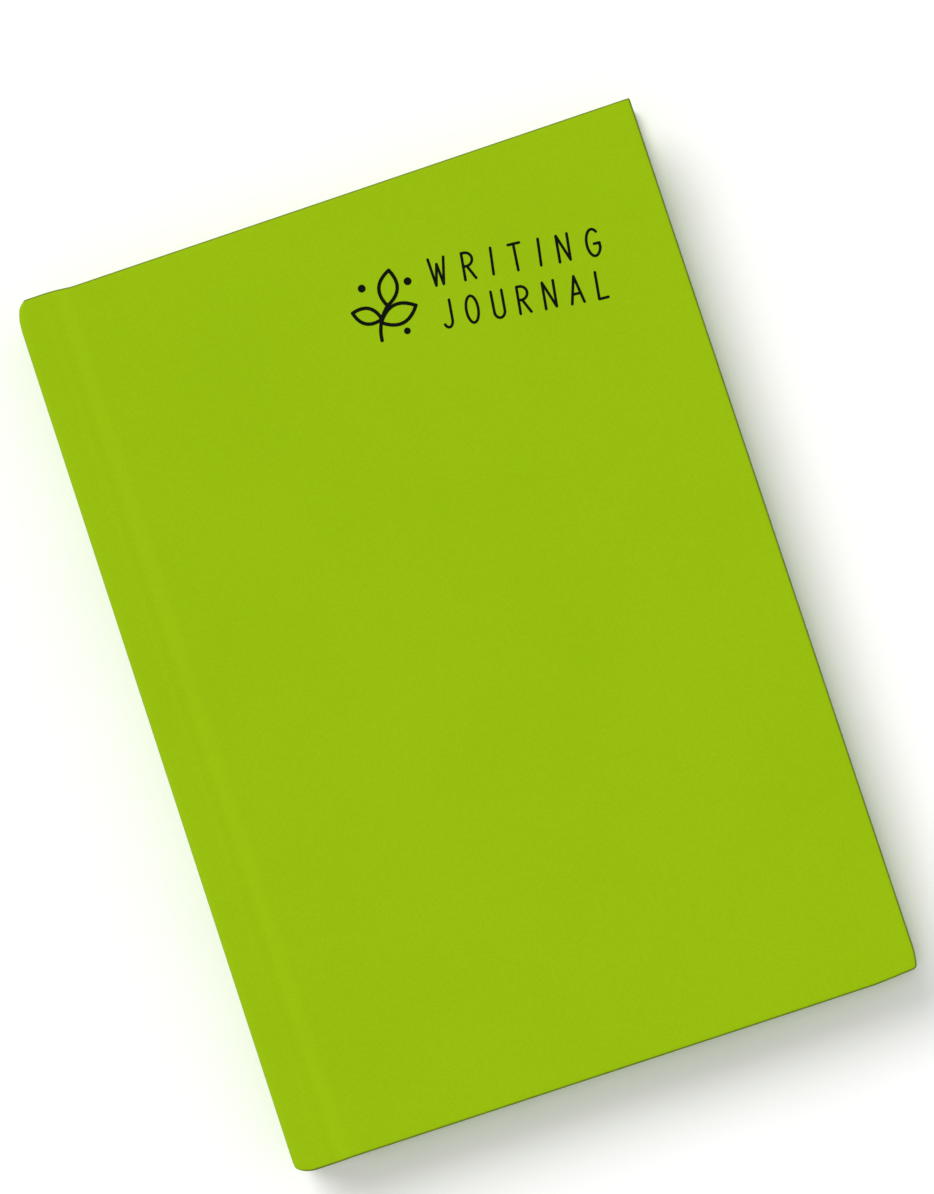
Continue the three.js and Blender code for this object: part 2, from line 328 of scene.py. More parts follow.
def ruled_lines(n, height, colour):
    """Pale lines across the page, over the paper's own colour."""
    offset = n.math("SUBTRACT", height, RULE_BOTTOM)
    phase = n.math("PINGPONG", offset, RULE_PITCH / 2)
    line = n.math("LESS_THAN", phase, RULE_WIDTH / 2)
    below = n.math("LESS_THAN", height, RULE_TOP)
    above = n.math("GREATER_THAN", height, RULE_BOTTOM - RULE_PITCH / 4)
    shown = n.math("MULTIPLY", line, n.math("MULTIPLY", below, above))
    return n.mix(shown, colour, RULE_COLOUR)


def page_edge_material():
    """Trimmed edges of many leaves: fine streaks that run along the sheets."""
    n = Nodes("page_edges", Roughness=0.9)
    n.shader.inputs["Specular IOR Level"].default_value = 0.2
    streaks = n.noise(n.place((12, 12, 9000)), 1.0, 3.0, 0.65)
    broad = n.noise(n.place((8, 8, 1500)), 1.0, 2.0, 0.5)
    both = n.math("ADD", n.math("MULTIPLY", streaks, 0.6), n.math("MULTIPLY", broad, 0.4))
    dark, middle, light = (0.66, 0.60, 0.48), (0.84, 0.79, 0.67), (0.92, 0.89, 0.79)
    colour = n.ramp(both, [(0.30, dark), (0.50, middle), (0.66, light)])
    return n.surface(colour, n.range(streaks, 0.84, 0.95), n.bump(streaks, 0.5, 0.00005))


def board_material():
    """Dense grey board with mixed fibres."""
    n = Nodes("grey_board", Roughness=0.95)
    where = n.place()
    flecks = n.noise(where, 900, 4.0, 0.7)
    dark, middle, light = (0.20, 0.19, 0.17), (0.31, 0.30, 0.27), (0.42, 0.40, 0.36)
    colour = n.ramp(flecks, [(0.3, dark), (0.6, middle), (0.75, light)])
    return n.surface(colour, n.range(flecks, 0.88, 0.97), n.bump(flecks, 0.4, 0.0001))


def kraft_material():
    """Brown lining paper, streaked along its grain."""
    n = Nodes("kraft", Roughness=0.85)
    streak = n.noise(n.place((600, 60, 600)), 1.0, 4.0, 0.65)
    colour = n.ramp(streak, [(0.3, (0.33, 0.20, 0.09)), (0.7, (0.50, 0.33, 0.17))])
    return n.surface(colour, n.range(streak, 0.78, 0.9), n.bump(streak, 0.3, 0.00005))


def gauze_material():
    """Open woven gauze."""
    n = Nodes("gauze", Roughness=0.95)
    warp = n.add("TexWave", wave_type="BANDS", bands_direction="Y", Scale=420.0, Distortion=1.0)
    weft = n.add("TexWave", wave_type="BANDS", bands_direction="DIAGONAL", Scale=380.0, Distortion=1.0)
    for wave in (warp, weft):
        n.join(n.place(), wave.inputs["Vector"])
    weave = n.math("MAXIMUM", warp.outputs["Fac"], weft.outputs["Fac"])
    colour = n.ramp(weave, [(0.2, (0.50, 0.46, 0.37)), (0.8, (0.83, 0.79, 0.69))])
    return n.surface(colour, n.range(weave, 0.88, 0.98), n.bump(weave, 0.7, 0.0002))


def thread_material(name, light, dark):
    """Spun thread with a slight sheen."""
    n = Nodes(name, Roughness=0.7)
    n.shader.inputs["Sheen Weight"].default_value = 0.25
    ply = n.noise(n.place((2500, 2500, 9000)), 1.0, 3.0, 0.6)
    colour = n.ramp(ply, [(0.3, dark), (0.7, light)])
    return n.surface(colour, n.range(ply, 0.6, 0.8), n.bump(ply, 0.6, 0.00006))


def floor_material():
    """Plain white paper under the book."""
    n = Nodes("floor", Roughness=0.8)
    speck = n.noise(n.place(), 40, 2.0)
    return n.surface(n.ramp(speck, [(0.3, (0.955, 0.955, 0.955)), (0.7, (0.97, 0.97, 0.97))]))


# ---------------------------------------------------------------- mesh helpers


def piece(
    name, vertices, faces, materials, uvs=None, face_materials=None, edge=None, sharp=35, merge=1e-7
):
    """A shown mesh with its faces pointing out.

    uvs holds one (u, v) in metres for each vertex, and edge how much painted shade darkens the cloth
    there, from 0 to 1.
    Edges steeper than sharp degrees stay crisp, and points nearer than merge metres become one.
    """
    mesh = bpy.data.meshes.new(name)
    mesh.from_pydata([tuple(v) for v in vertices], [], faces)
    for material in materials:
        mesh.materials.append(material)
    if face_materials is not None:
        mesh.polygons.foreach_set("material_index", face_materials)
    if uvs is not None:
        layer = mesh.uv_layers.new(name=UV)
        loops = np.zeros(len(mesh.loops), np.int32)
        mesh.loops.foreach_get("vertex_index", loops)
        layer.data.foreach_set("uv", np.asarray(uvs, np.float32)[loops].ravel())
    if edge is not None:
        edge_shade_and_ink_wear = mesh.attributes.new("edge", "FLOAT", "POINT")
        edge_shade_and_ink_wear.data.foreach_set("value", np.asarray(edge, np.float32))
    bm = bmesh.new()
    bm.from_mesh(mesh)
    bmesh.ops.remove_doubles(bm, verts=bm.verts, dist=merge)
    bmesh.ops.dissolve_degenerate(bm, edges=bm.edges, dist=merge)
    bmesh.ops.recalc_face_normals(bm, faces=bm.faces)
    bm.to_mesh(mesh)
    bm.free()
    mesh.shade_smooth()
    mesh.set_sharp_from_angle(angle=math.radians(sharp))
    made = bpy.data.objects.new(name, mesh)
    bpy.context.scene.collection.objects.link(made)
    return made


def grid_faces(rows, columns, first=0):
    """Four-sided faces of a grid whose points run row by row from index first."""
    corners = [first + r * columns + c for r in range(rows - 1) for c in range(columns - 1)]
    return [(k, k + 1, k + columns + 1, k + columns) for k in corners]


def smooth_step(value, low, high):
    """0 below low, 1 above high, and a smooth rise between them."""
    t = np.clip((np.asarray(value, float) - low) / (high - low), 0, 1)
    return t * t * (3 - 2 * t)


# ---------------------------------------------------------------- the cover cloth
#
# The cloth is one sheet. Its outer face runs along a path in the x-z plane: back cover, groove, fold,
# spine, fold, groove, front cover. q is the distance along that path from the middle of the spine, and
# side is +1 towards the front cover and -1 towards the back cover. A ring is the line that keeps the same
# inset from the sheet's edge. Where x is a plain number it is the distance from the spine face.

PANEL = FORE_X - SPINE_X - FOLD
SPINE_FLAT = TOP / 2 - FOLD
FOLD_END = SPINE_FLAT + FOLD * math.pi / 2
CASE_END = FOLD_END + PANEL
GROOVE_PATH = FOLD_END + GROOVE_X - SPINE_X - FOLD
GROOVE_HALF_WIDTH = 2.4 * MM
GROOVE_DEPTH = 0.32 * MM
GROOVE_HIGHLIGHT_ASIDE = 0.5 * MM  # the painted highlight along the groove is centred this far towards the spine from its middle, so that it also lightens the groove's shaded slope
GROOVE_HIGHLIGHT_SHARE = 0.42  # how much of the painted highlight colour is mixed in, where 1 is all of it
CLOTH = 0.3 * MM
BOARD_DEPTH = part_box("front_cloth")[1].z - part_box("front_cloth")[0].z
JOINT_DEPTH = 0.76 * MM
SPINE_DEPTH = 1.95 * MM
SPINE_SLOPE = (1.7 * MM, 0.5 * MM)  # the turn-in leaves the spine board between these, before the fold
BOARD_SLOPE = (1.3 * MM, 0.1 * MM)  # it climbs the cover board from before its edge to past it
TURN_IN = 14 * MM
EDGE_ROUND = 0.45 * MM
INNER_ROUND = 0.4 * MM
CORNER = {1: 0.3 * MM, -1: 0.65 * MM}  # corner radius at the fore edge, at the head and the tail

# The soft cap at each end of the spine, at the head and the tail: how far the joint's edge stands proud
# of the boards, how far the spine's end lies inside them, where the edge starts to fall, how far the end
# is pressed in towards the leaves, and how far from the end that starts.
CAP = {
    1: {"rise": 0.37 * MM, "drop": 1.20 * MM, "from": 1.3 * MM, "press": 1.10 * MM, "reach": 4.2 * MM},
    -1: {"rise": 0.08 * MM, "drop": 1.20 * MM, "from": 3.4 * MM, "press": 0.60 * MM, "reach": 2.4 * MM},
}

PROUD_END = (6.6 * MM, 0.6 * MM)  # it is proud up to here, and level from here past the board's edge
PRESS_END = (0.6 * MM, 4.0 * MM)  # the press fades between these distances from the spine face

# The knocked tail corner of both covers: how far each edge bends in, and over what length.
KNOCK_FORE = (0.52 * MM, 4.2 * MM)
KNOCK_TAIL = (0.55 * MM, 9.0 * MM)
KNOCK_FADE = (6 * MM, 1 * MM)  # each bend grows between these distances from the other edge
CORNER_MARKS = np.array([0.6, 1.2, 1.9, 2.7, 3.6, 4.6, 5.8, 7.2]) * MM  # stations close to a corner


def at_x(x):
    """Path distance of a place on a cover, from its distance behind the spine face."""
    return FOLD_END + x - FOLD


def groove_shape(x):
    """Depth of the groove at a distance from the spine face, and its slope there."""
    across = np.clip((x - (GROOVE_X - SPINE_X)) / GROOVE_HALF_WIDTH, -1, 1)
    height = GROOVE_DEPTH * (1 + np.cos(np.pi * across)) / 2
    slope = -GROOVE_DEPTH * np.pi / GROOVE_HALF_WIDTH * np.sin(np.pi * across) / 2
    return height, slope


def on_path(q, depth, side):
    """Place (x, z) at path distance q and depth below the outer face."""
    q, depth = np.broadcast_arrays(np.asarray(q, float), np.asarray(depth, float))
    turn = np.clip((q - SPINE_FLAT) / FOLD, 0, np.pi / 2)
    normal_x, normal_z = -np.cos(turn), np.sin(turn)
    x = FOLD + FOLD * normal_x
    z = np.minimum(q, SPINE_FLAT) + FOLD * normal_z
    flat = q > FOLD_END
    along = FOLD + q - FOLD_END
    height, slope = groove_shape(along)
    size = np.sqrt(1 + slope**2)
    normal_x = np.where(flat, slope / size, normal_x)
    normal_z = np.where(flat, 1 / size, normal_z)
    x = np.where(flat, along, x)
    z = np.where(flat, SPINE_FLAT + FOLD - height, z)
    return SPINE_X + x - normal_x * depth, TOP / 2 + side * (z - normal_z * depth)


def sheet_depth(q):
    """Depth of the turn-in below the outer face, round the spine board, in the joint or round a board."""
    board_q = at_x(BOARD_X - SPINE_X)
    spine = 1 - smooth_step(q, SPINE_FLAT - SPINE_SLOPE[0], SPINE_FLAT - SPINE_SLOPE[1])
    board = smooth_step(q, board_q - BOARD_SLOPE[0], board_q + BOARD_SLOPE[1])
    return JOINT_DEPTH + (SPINE_DEPTH - JOINT_DEPTH) * spine + (BOARD_DEPTH - JOINT_DEPTH) * board


def edge_drop(q, end):
    """How far the head (+1) or tail (-1) edge of the case lies inside the boards' edge."""
    cap = CAP[end]
    fall = np.clip((at_x(cap["from"]) - q) / (at_x(cap["from"]) - SPINE_FLAT), 0, 1) ** 2
    proud = 1 - smooth_step(q, at_x(PROUD_END[0]), at_x(BOARD_X - SPINE_X + PROUD_END[1]))
    return cap["drop"] * fall - cap["rise"] * proud


def cap_press(x, y):
    """How far the spine's soft ends are pressed in towards the leaves."""
    end = np.where(y > 0, 1, -1)
    reach = np.where(end > 0, CAP[1]["reach"], CAP[-1]["reach"])
    press = np.where(end > 0, CAP[1]["press"], CAP[-1]["press"])
    near = np.clip((np.abs(y) - (HALF - reach)) / reach, 0, 1) ** 2
    return press * near * (1 - smooth_step(x - SPINE_X, *PRESS_END))


def knocked(x, y):
    """The plan place of a point on a cover, with its tail corner bent in a little."""
    fore_near = np.clip((-y - (HALF - KNOCK_FORE[1])) / KNOCK_FORE[1], 0, 1) ** 2
    tail_near = np.clip((x - (FORE_X - KNOCK_TAIL[1])) / KNOCK_TAIL[1], 0, 1) ** 1.2
    in_x = KNOCK_FORE[0] * fore_near * smooth_step(x, FORE_X - KNOCK_FADE[0], FORE_X - KNOCK_FADE[1])
    in_y = KNOCK_TAIL[0] * tail_near * smooth_step(-y, HALF - KNOCK_FADE[0], HALF - KNOCK_FADE[1])
    return x - in_x, y + in_y


def ring_profile(inner):
    """The rings from the middle of the sheet, over its edge, to the end of the turn-in.

    Each is (inset, share, fixed, reach, edge): its depth below the outer face is fixed, plus the sheet's
    whole depth where share is 1; reach is its distance past the edge on the unfolded sheet; edge is how
    much painted shade darkens the cloth there.
    """
    skin = CLOTH if inner else 0.0
    flat = [60 * MM, 45 * MM, 32 * MM, 22 * MM, TURN_IN, 9 * MM, 6 * MM, 4 * MM, 2.2 * MM, 1.1 * MM]
    rows = [(i, 0.0, skin, -i, 0.0) for i in [HALF, *flat]]
    steps = 6
    angles = [math.pi / 2 * k / steps for k in range(steps + 1)]
    for a in angles:
        radius = EDGE_ROUND - skin
        inset, depth = EDGE_ROUND - radius * math.sin(a), EDGE_ROUND - radius * math.cos(a)
        # Painted shade: the rounded edge darkens as it turns away from the light, most on its outer part,
        # and a little down the side wall.
        edge_shade_and_ink_wear = float(smooth_step(a, 0.15, 0.8) * (1 - 0.35 * smooth_step(a, 1.0, 1.5)))
        rows.append((inset, 0.0, depth, EDGE_ROUND * (0.8 * a - 1), edge_shade_and_ink_wear))
    rows.append((skin, 0.0, 0.8 * MM, 0.6 * MM, 0.1))
    for a in angles:
        radius = INNER_ROUND - skin
        inset, depth = INNER_ROUND - radius * math.cos(a), radius * math.sin(a) - INNER_ROUND
        rows.append((inset, 1.0, depth, 2.2 * MM + 0.8 * INNER_ROUND * a, 0.0))
    under = (1.5 * MM, 3 * MM, 6 * MM, 10 * MM, TURN_IN)
    rows += [(i, 1.0, -skin, 2.3 * MM + i, 0.0) for i in under]
    return rows


def ring_depth(q, share, fixed):
    """Depth of a ring, kept from crossing the rings beside it where the sheet is thin."""
    full = sheet_depth(q)
    if share == 0.0:
        return np.minimum(fixed, full * 0.5)
    return np.maximum(full + fixed, full * 0.5 + 0.02 * MM)


def fine_stations(start):
    """Path distances from start to just past the groove, close together where the sheet bends."""
    marks = [q * MM for q in np.arange(0, 4.5, 0.9)]
    marks += list(np.arange(SPINE_FLAT - 2.2 * MM, FOLD_END + 3.2 * MM, 0.24 * MM))
    marks += list(np.arange(FOLD_END + 3.4 * MM, at_x(GROOVE_X - SPINE_X) + 3.1 * MM, 0.22 * MM))
    return [q for q in sorted(marks) if q > start + 0.1 * MM]


def board_ring(inset, stations):
    """One ring round a cover, as points (q, y, outward q, outward y): head, fore edge, then tail."""
    last = stations[-1]
    lines = []
    for end, corner in CORNER.items():
        radius = max(corner - inset, 0.0)
        turn = max(corner, inset)
        straight = CASE_END - turn - last
        wide = np.linspace(last, last + straight - CORNER_MARKS[-1], 9)[1:-1]
        run = [*stations, *wide, *(last + straight - CORNER_MARKS[::-1])]
        drop = edge_drop(np.array(run), end) * max(0.0, 1 - inset / TURN_IN)
        line = [(q, end * (HALF - inset - d), 0.0, end) for q, d in zip(run, drop)]
        for a in (math.pi / 2 * k / 6 for k in range(7)):
            q = CASE_END - turn + radius * math.sin(a)
            line.append((q, end * (HALF - turn + radius * math.cos(a)), math.sin(a), end * math.cos(a)))
        lines.append(line)
    head, tail = lines
    (corner_q, head_y), tail_y = head[-1][:2], tail[-1][1]
    marks = CORNER_MARKS * min(1.0, (head_y - tail_y) / (2.5 * CORNER_MARKS[-1]))
    wide = np.linspace(head_y - marks[-1], tail_y + marks[-1], 11)[1:-1]
    ys = [*(head_y - marks), *wide, *(tail_y + marks[::-1])]
    return head + [(corner_q, y, 1.0, 0.0) for y in ys] + tail[::-1]


def plan_ring(inset):
    """Plan points (x, y) round a flat cover at an inset, with its tail corner knocked in."""
    ring = board_ring(inset, [at_x(BOARD_X - SPINE_X)])
    q, y, _, _ = (np.array(column) for column in zip(*ring))
    x, y = knocked(SPINE_X + FOLD + q - FOLD_END, y)
    return [(float(a), float(b)) for a, b in zip(x, y)]


def sheet_faces(rows, columns, closed_rows):
    """Faces of a sheet given as an outer and then an inner grid, joined along its open ends."""
    second = rows * columns
    faces = grid_faces(rows, columns) + grid_faces(rows, columns, second)
    rims = [(r * columns + c, (r + 1) * columns + c) for r in range(rows - 1) for c in (0, columns - 1)]
    rims += [(r * columns + c, r * columns + c + 1) for r in closed_rows for c in range(columns - 1)]
    return faces + [(a, b, b + second, a + second) for a, b in rims]


def cover_sheet(name, side, start):
    """The cloth of one cover, from path distance start to the fore edge, with its turn-ins."""
    stations = [start] + fine_stations(start)
    points, uvs, edges = [], [], []
    for inner in (False, True):
        profile = ring_profile(inner)
        for inset, share, fixed, reach, edge in profile:
            ring = board_ring(inset, stations)
            q, y, out_q, out_y = (np.array(column) for column in zip(*ring))
            x, z = on_path(q, ring_depth(q, share, fixed), side)
            x, y = knocked(x + cap_press(x, y), y)
            points += list(zip(x, y, z))
            grow = reach + inset
            uvs += list(zip(side * (q + out_q * grow), y + out_y * grow))
            edges += [edge] * len(ring)
    faces = sheet_faces(len(profile), len(ring), [len(profile) - 1])
    return piece(name, points, faces, [CLOTH_GREEN], uvs, edge=edges)


def spine_sheet(name, side, end):
    """The cloth from the middle of the spine to path distance end, right across from tail to head."""
    stations = [0.0] + [q for q in fine_stations(0.0) if q < end - 0.1 * MM] + [end]
    q = np.array(stations)
    points, uvs, edges = [], [], []
    for inner in (False, True):
        profile = ring_profile(inner)
        across = [(-1, row) for row in profile[::-1]] + [(1, row) for row in profile[1:]]
        for tip, (inset, share, fixed, reach, edge) in across:
            x, z = on_path(q, ring_depth(q, share, fixed), side)
            y = tip * (HALF - inset - edge_drop(q, tip) * max(0.0, 1 - inset / TURN_IN))
            points += list(zip(x + cap_press(x, y), y, z))
            uvs += [(side * a, tip * (HALF + reach)) for a in stations]
            edges += [edge] * len(stations)
    faces = sheet_faces(len(across), len(stations), [0, len(across) - 1])
    return piece(name, points, faces, [CLOTH_GREEN], uvs, edge=edges)


SHOULDER = 5.0 * MM  # where the front cover's cloth meets the spine's, between the fold and the groove


def make_case():
    """The cover cloth, in three pieces that meet edge to edge."""
    back = cover_sheet("back_cover_cloth", -1, 0.0)
    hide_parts("back_cloth")
    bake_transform(back)
    middle = spine_sheet("spine_cover_cloth", 1, at_x(SHOULDER))
    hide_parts("spine_cloth", "front_joint_cloth")
    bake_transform(middle)
    front = cover_sheet("front_cover_cloth", 1, at_x(SHOULDER))
    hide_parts("front_cloth")
    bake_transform(front)


def make_board(node, body):
    """The stiff board of one cover, whose tail corner is knocked in like the cloth that it carries."""
    low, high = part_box(node)
    edge = FORE_X - high.x
    ring = [(x, y) for x, y in plan_ring(edge) if x > low.x]
    ring = [(low.x, ring[0][1]), *ring, (low.x, ring[-1][1])]
    count = len(ring)
    points = [(x, y, z) for z in (low.z, high.z) for x, y in ring]
    faces = [tuple(range(count)), tuple(range(count, 2 * count))]
    faces += [(k, (k + 1) % count, count + (k + 1) % count, count + k) for k in range(count)]
    made = piece(f"{node}_core", points, faces, [BOARD])
    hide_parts(node)
    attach(made, body)


# ---------------------------------------------------------------- paper


SHEETS = 5  # folded sheets in a signature
SHEET_GAP = 0.007 * MM
UNEVEN_FORE = 0.05  # in millimetres: how much a sheet's fore edge may differ from its neighbour's
UNEVEN_ENDS = 0.04  # the same for its head and tail
UNEVEN_BLOCK = 0.06  # and for a whole signature's fore edge
FOLD_STEPS = 8


def folded_sheet(low, high, index, chance):
    """One folded sheet as a U in cross-section: (points, faces, edge flags) for a fold at low.x."""
    thick = high.z - low.z
    centre = (low.z + high.z) / 2
    pitch = thick / 2 / SHEETS
    outer = thick / 2 - pitch * index
    inner = outer - pitch + SHEET_GAP
    turn_x = low.x + thick / 2
    fore = high.x - chance.uniform(0, UNEVEN_FORE) * MM
    trim = chance.uniform(0, UNEVEN_ENDS) * MM
    turns = [math.pi * k / FOLD_STEPS for k in range(FOLD_STEPS + 1)]
    outline = [(fore, centre - outer)]
    outline += [(turn_x - outer * math.sin(a), centre - outer * math.cos(a)) for a in turns]
    outline += [(fore, centre + outer), (fore, centre + inner)]
    outline += [(turn_x - inner * math.sin(a), centre + inner * math.cos(a)) for a in turns]
    outline += [(fore, centre - inner)]
    tail, head = low.y + trim, high.y - trim
    points = [(x, tail, z) for x, z in outline] + [(x, head, z) for x, z in outline]
    count = len(outline)
    faces, flags = [], []
    for k in range(count):
        n = (k + 1) % count
        faces.append((k, n, n + count, k + count))
        flags.append(int(outline[k][0] == fore and outline[n][0] == fore))
    half = count // 2
    for k in range(half - 1):
        other = count - 1 - k
        a, b, c, d = k, k + 1, other - 1, other
        faces += [(a, b, c, d), (a + count, b + count, c + count, d + count)]
        flags += [1, 1]
    return points, faces, flags


def make_signature(number, body):
    """One signature: folded sheets one inside the other, each with its trimmed edges a little apart."""
    node = f"signature_{number}"
    low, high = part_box(node)
    chance = random.Random(number)
    shift = chance.uniform(0, UNEVEN_BLOCK) * MM
    high = high - Vector((shift, 0, 0))
    points, faces, flags = [], [], []
    for index in range(SHEETS):
        p, f, g = folded_sheet(low, high, index, chance)
        faces += [tuple(i + len(points) for i in face) for face in f]
        points += p
        flags += g
    made = piece(f"{node}_leaves", points, faces, [PAGE, PAGE_EDGE], face_materials=flags, merge=1e-9)
    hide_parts(node)
    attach(made, body)


def leaf_sheet(name, low, high, columns, materials, relief=None):
    """A flat leaf with its own thickness, finely divided along x. relief(x, y) shifts it along z."""
    xs = np.asarray(columns, float)
    ys = np.linspace(low.y, high.y, 2) if relief is None else relief_rows(high.y)
    points = []
    for z in (low.z, high.z):
        for y in ys:
            points += [(x, y, z + (0 if relief is None else relief(x, y))) for x in xs]
    rows, count = len(ys), len(xs)
    second = rows * count
    faces = grid_faces(rows, count) + grid_faces(rows, count, second)
    flags = [0] * len(faces)
    rim = [(c, c + 1) for c in range(count - 1)]
    rim += [((rows - 1) * count + c, (rows - 1) * count + c + 1) for c in range(count - 1)]
    rim += [(r * count, (r + 1) * count) for r in range(rows - 1)]
    rim += [(r * count + count - 1, (r + 1) * count + count - 1) for r in range(rows - 1)]
    faces += [(a, b, b + second, a + second) for a, b in rim]
    flags += [1] * len(rim)
    uvs = [(p[0], p[1]) for p in points]
    return piece(name, points, faces, materials, uvs, flags, merge=1e-9)


def step_marks(edge, direction):
    """Stations close together where the paper steps down beside an edge."""
    return [edge + direction * PASTE_STEP * k / 4 for k in range(5)]


def relief_rows(high):
    """y stations of a pastedown: close together where it steps down off the gauze and the turn-ins."""
    near = step_marks(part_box("mull_back_flange")[1].y, 1) + step_marks(HALF - TURN_IN, -1)
    half = sorted([15 * MM, 35 * MM] + near + [high - 6 * MM, high])
    return np.array([-y for y in half[::-1]] + [0.0] + half)


def columns_between(low, high, fine_low, fine_high, step):
    """x stations: close together between fine_low and fine_high, and wide elsewhere."""
    fine = list(np.arange(fine_low, fine_high, step)) + [fine_high]
    before = [low] if low < fine_low - 1e-6 else []
    after = list(np.linspace(fine_high, high, 9)[1:])
    return before + fine + after


LEAF_BEND = 9 * MM  # how far from its fold a centre leaf bends
FLYLEAF_BEND = 26 * MM


def make_leaves():
    """The leaves in the middle of the book that turn one by one."""
    for number in (1, 2, 3):
        node = f"centre_leaf_{number}"
        low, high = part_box(node)
        bend_end = low.x + LEAF_BEND
        columns = columns_between(low.x, high.x, low.x, bend_end, 0.5 * MM)
        leaf = leaf_sheet(f"{node}_paper", low, high, columns, [PAGE, PAGE_EDGE])
        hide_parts(node)
        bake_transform(leaf)


PASTE_SINK = 0.2 * MM
PASTE_STEP = 1.3 * MM


def board_relief(direction):
    """The paper glued over the turn-ins and the gauze sinks onto the board between them."""
    flange_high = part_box("mull_back_flange")[1]

    def relief(x, y):
        inside_y = smooth_step(HALF - TURN_IN - abs(y), 0, PASTE_STEP)
        inside_x = smooth_step(FORE_X - TURN_IN - x, 0, PASTE_STEP)
        past_joint = smooth_step(x - BOARD_X, 0, PASTE_STEP)
        past_gauze_x = smooth_step(x - flange_high.x, 0, PASTE_STEP)
        past_gauze_y = smooth_step(abs(y) - flange_high.y, 0, PASTE_STEP)
        off_gauze = max(past_gauze_x, past_gauze_y)
        return direction * PASTE_SINK * float(inside_y * inside_x * past_joint * off_gauze)

    return relief


def pastedown_columns(low, high):
    """x stations of a pastedown: close together in the joint and where it steps down onto the board."""
    edge = FORE_X - TURN_IN
    gauze_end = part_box("mull_back_flange")[1].x
    joint = list(np.arange(SPINE_X + SHOULDER, BOARD_X, 0.25 * MM)) + step_marks(BOARD_X, 1)
    wide = list(np.linspace(gauze_end + 4 * MM, edge - 3 * MM, 6))
    board = step_marks(gauze_end, 1) + wide + step_marks(edge, -1)
    marks = [low, high] + joint + board + [high - 5 * MM]
    return sorted(x for x in marks if low <= x <= high)


def make_endpapers():
    """The two pastedowns and the two flyleaves."""
    paper = [ENDPAPER, PAGE_EDGE]
    stub_low, stub_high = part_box("front_endpaper_hinge")
    low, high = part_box("front_pastedown")
    sheet_low = Vector((stub_low.x, low.y, stub_low.z))
    sheet_high = Vector((high.x, high.y, stub_high.z))
    columns = pastedown_columns(sheet_low.x, high.x)
    front = leaf_sheet("front_pastedown_paper", sheet_low, sheet_high, columns, paper, board_relief(1))
    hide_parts("front_pastedown", "front_endpaper_hinge")
    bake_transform(front)
    low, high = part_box("back_pastedown")
    sheet_low = Vector((low.x, low.y, high.z - (stub_high.z - stub_low.z)))
    columns = pastedown_columns(low.x, high.x)
    back = leaf_sheet("back_pastedown_paper", sheet_low, high, columns, paper, board_relief(-1))
    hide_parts("back_pastedown")
    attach(back, "back_cover")
    low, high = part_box("front_flyleaf")
    low = Vector((BLOCK_X + 0.1 * MM, low.y, low.z))
    bend = (joint_at("front_flyleaf_turn").x, joint_at("front_flyleaf_turn").x + FLYLEAF_BEND)
    columns = columns_between(low.x, high.x, *bend, 1.5 * MM)
    fly = leaf_sheet("front_flyleaf_paper", low, high, columns, paper)
    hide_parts("front_flyleaf")
    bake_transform(fly)
    low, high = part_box("back_flyleaf")
    last = leaf_sheet("back_flyleaf_paper", low, high, np.linspace(low.x, high.x, 6), paper)
    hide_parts("back_flyleaf")
    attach(last, "back_cover")


# ---------------------------------------------------------------- headbands


BEAD_RADIUS = 0.62 * MM
BEAD_INSET = 0.65 * MM
BEAD_TURNS = 16
TAPE_THICK = 0.22 * MM


def make_headband(node, end):
    """A bead wound with thread of two colours, on its tape."""
    low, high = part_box(node)
    centre_x = high.x - BEAD_INSET
    centre_y = (high.y if end > 0 else low.y) - end * BEAD_INSET
    per_turn = 10
    sides = 18
    length = high.z - low.z
    points, flags, faces = [], [], []
    steps = BEAD_TURNS * per_turn
    for s in range(steps + 1):
        z = low.z + length * s / steps
        swell = abs(math.sin(math.pi * s / per_turn))
        end_taper = min(1.0, 0.55 + s / 6, 0.55 + (steps - s) / 6)
        r = BEAD_RADIUS * (0.86 + 0.14 * swell) * end_taper
        for k in range(sides):
            a = 2 * math.pi * k / sides
            points.append((centre_x + r * math.cos(a), centre_y + r * math.sin(a), z))
    for s in range(steps):
        colour = (s // per_turn) % 2
        for k in range(sides):
            n = (k + 1) % sides
            faces.append((s * sides + k, s * sides + n, (s + 1) * sides + n, (s + 1) * sides + k))
            flags.append(colour)
    faces.append(tuple(range(sides)))
    faces.append(tuple(range(steps * sides, (steps + 1) * sides)))
    flags += [0, 0]
    bead = piece(f"{node}_bead", points, faces, [BAND_GREEN, BAND_WHITE], face_materials=flags, sharp=60)
    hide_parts(node)
    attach(bead, "spine")
    inner_y = low.y if end > 0 else high.y
    tape_low = Vector((low.x, min(inner_y, centre_y), low.z + 0.1 * MM))
    tape_high = Vector((low.x + TAPE_THICK, max(inner_y, centre_y), high.z - 0.1 * MM))
    columns = [tape_low.x, (tape_low.x + tape_high.x) / 2, tape_high.x]
    tape = leaf_sheet(f"{node}_tape", tape_low, tape_high, columns, [GAUZE, GAUZE])
    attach(tape, "spine")


# ---------------------------------------------------------------- print on the front cover
#
# Plan points of the print are in the label's own axes, in millimetres: x along its lines of lettering,
# and y up from the first line's base.

LABEL_X = 67.3 * MM  # from the spine face to the start of the first line
LABEL_Y = 19.3 * MM  # from the head edge down to the first line's base
LABEL_TURN = math.radians(-8.0)
INK_LIFT = 0.012 * MM
INK_THICK = 0.02 * MM
CAP_HEIGHT = 4.5
PEN = 0.46
PEN_EMBLEM = 0.60


